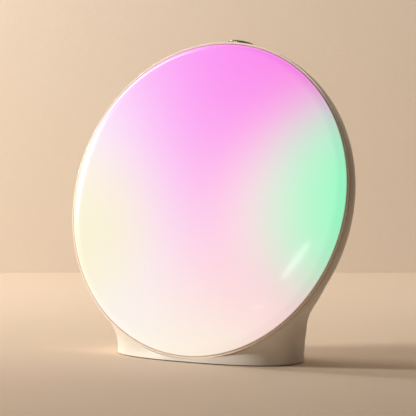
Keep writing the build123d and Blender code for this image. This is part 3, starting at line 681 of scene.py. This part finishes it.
green_board = lacquered_board("green_board", (0.05, 0.22, 0.12), (0.10, 0.34, 0.19))
white_board = lacquered_board("white_board", (0.86, 0.86, 0.84), (0.80, 0.80, 0.78))
chip_epoxy = moulded("chip_epoxy", (0.035, 0.035, 0.04), 0.55, grain=0.12, depth=0.004)
dress(green_board, "main_board", "dial_board", "power_board")
dress(white_board, "led_board")
dress(chip_epoxy, "board_parts", "power_parts")
dress(switch_black, "tact_switches", "left_button_plunger", "right_button_plunger", "cell_holder")
dress(can_metal, "wireless_module", "coin_cell", "usb_c_socket")
dress(
    screw_steel,
    "tray_screws", "board_screws", "speaker_screws", "base_screws", "weight_screws", "power_screws",
)

# Light engine: a matt white reflector tray, held by screws in the housing, white lamp
# packages, each with a round yellow phosphor well, and the clock display, dark glass with
# amber segments.
led_rings_start = 40 * millimetre
led_rings_pitch = 18 * millimetre
leds_first = 12
leds_more = 6
phosphor_radius = 1.1 * millimetre
package_cream = (0.85, 0.83, 0.78)
phosphor_yellow = (0.86, 0.68, 0.16)


# The nearest package's middle, found by its ring and its place round the ring
def phosphor_wells():
    package = Finish("lamp_package", package_cream, roughness=0.4)
    across, upwards, radius = disc_point(package)
    ring = radius.maths("ROUND", (radius - led_rings_start) / led_rings_pitch)
    share = 2 * pi / (ring * leds_more + leds_first)
    turn = across.maths("ARCTAN2", upwards, across)
    round_away = (turn - turn.maths("ROUND", turn / share) * share) * radius
    out_away = radius - (ring * led_rings_pitch + led_rings_start)
    well = (round_away * round_away + out_away * out_away).root() < phosphor_radius
    package.set("Base Color", package.mix(well, package_cream, phosphor_yellow))
    return package


tray_white = moulded("tray_white", (0.88, 0.88, 0.87), 0.6, grain=0.6, depth=0.01)
display_glass = moulded(
    "display_glass", (0.02, 0.018, 0.02), 0.12, grain=0.8, depth=0.001, Coat_Weight=0.5
)
segment_amber = moulded("segment_amber", (0.80, 0.48, 0.16), 0.35, grain=0.3, depth=0.004)
dress(tray_white, "reflector_tray")
dress(phosphor_wells(), "led_packages")
dress(display_glass, "clock_display")
dress(segment_amber, "display_segments")


# Loudspeaker: a steel basket in black paint, a nickelled magnet, a pressed paper cone in a
# rubber surround, and a foam gasket, screwed behind a drilled and powder-coated grille.
# Each texture here colours its surface and raises it; the relief is in millimetres.
def textured(finish, texture, drift, relief):
    finish.mottled(texture, drift)
    finish.bump(texture, relief * millimetre)
    return finish


powder_coat = Finish("powder_coat", (0.76, 0.71, 0.64), 0.55)
orange_peel = powder_coat.noise(0.35 * millimetre)
dress(textured(powder_coat, orange_peel, drift=0.04, relief=0.015), "speaker_grille")
cone_paper = Finish("cone_paper", (0.07, 0.07, 0.075), 0.85)
fibres = cone_paper.noise(0.4 * millimetre, detail=4.0, roughness=0.7, stretch=(1, 3, 1))
dress(textured(cone_paper, fibres, drift=0.35, relief=0.03), "speaker_cone")
gasket_foam = Finish("gasket_foam", (0.045, 0.045, 0.045), 0.95)
pores = gasket_foam.cells(0.5 * millimetre)
dress(textured(gasket_foam, pores, drift=0.3, relief=0.08), "speaker_gasket")
basket_paint = moulded("basket_paint", (0.05, 0.05, 0.055), 0.4, grain=0.3, depth=0.01)
magnet_nickel = worked_metal("magnet_nickel", (0.50, 0.49, 0.47), 0.22)
surround_rubber = moulded("surround_rubber", (0.03, 0.03, 0.03), 0.6, grain=0.2, depth=0.004)
dress(basket_paint, "speaker_basket")
dress(magnet_nickel, "speaker_magnet")
dress(surround_rubber, "speaker_surround")

# Foot: a plastic base plate screwed under the housing, with a zinc-coated iron weight on
# it, closed by a thin rubber pad whose surface is fine and dull so that it grips. The inner
# leads are in smooth black sheaths.
pad_rubber = Finish("pad_rubber", (0.13, 0.105, 0.085), 0.85)
pips = pad_rubber.cells(0.9 * millimetre)
plate_grey = moulded("plate_grey", (0.50, 0.49, 0.47), 0.5)
zinc_coat = worked_metal("zinc_coat", (0.34, 0.34, 0.35), 0.45, line=0.8, stretch=(1, 1, 1))
dress(textured(pad_rubber, pips, drift=0.2, relief=0.04), "foot_pad")
dress(plate_grey, "base_plate")
dress(zinc_coat, "base_weight")
lead_sheath = Finish("lead_sheath", (0.04, 0.04, 0.04), 0.45)
lead_sheath.mottled(lead_sheath.noise(0.5 * millimetre), spread=0.2)
lead_sheath.bump(lead_sheath.noise(0.3 * millimetre), depth=0.005 * millimetre)
dress(lead_sheath, "power_lead", "speaker_lead", "dial_lead")
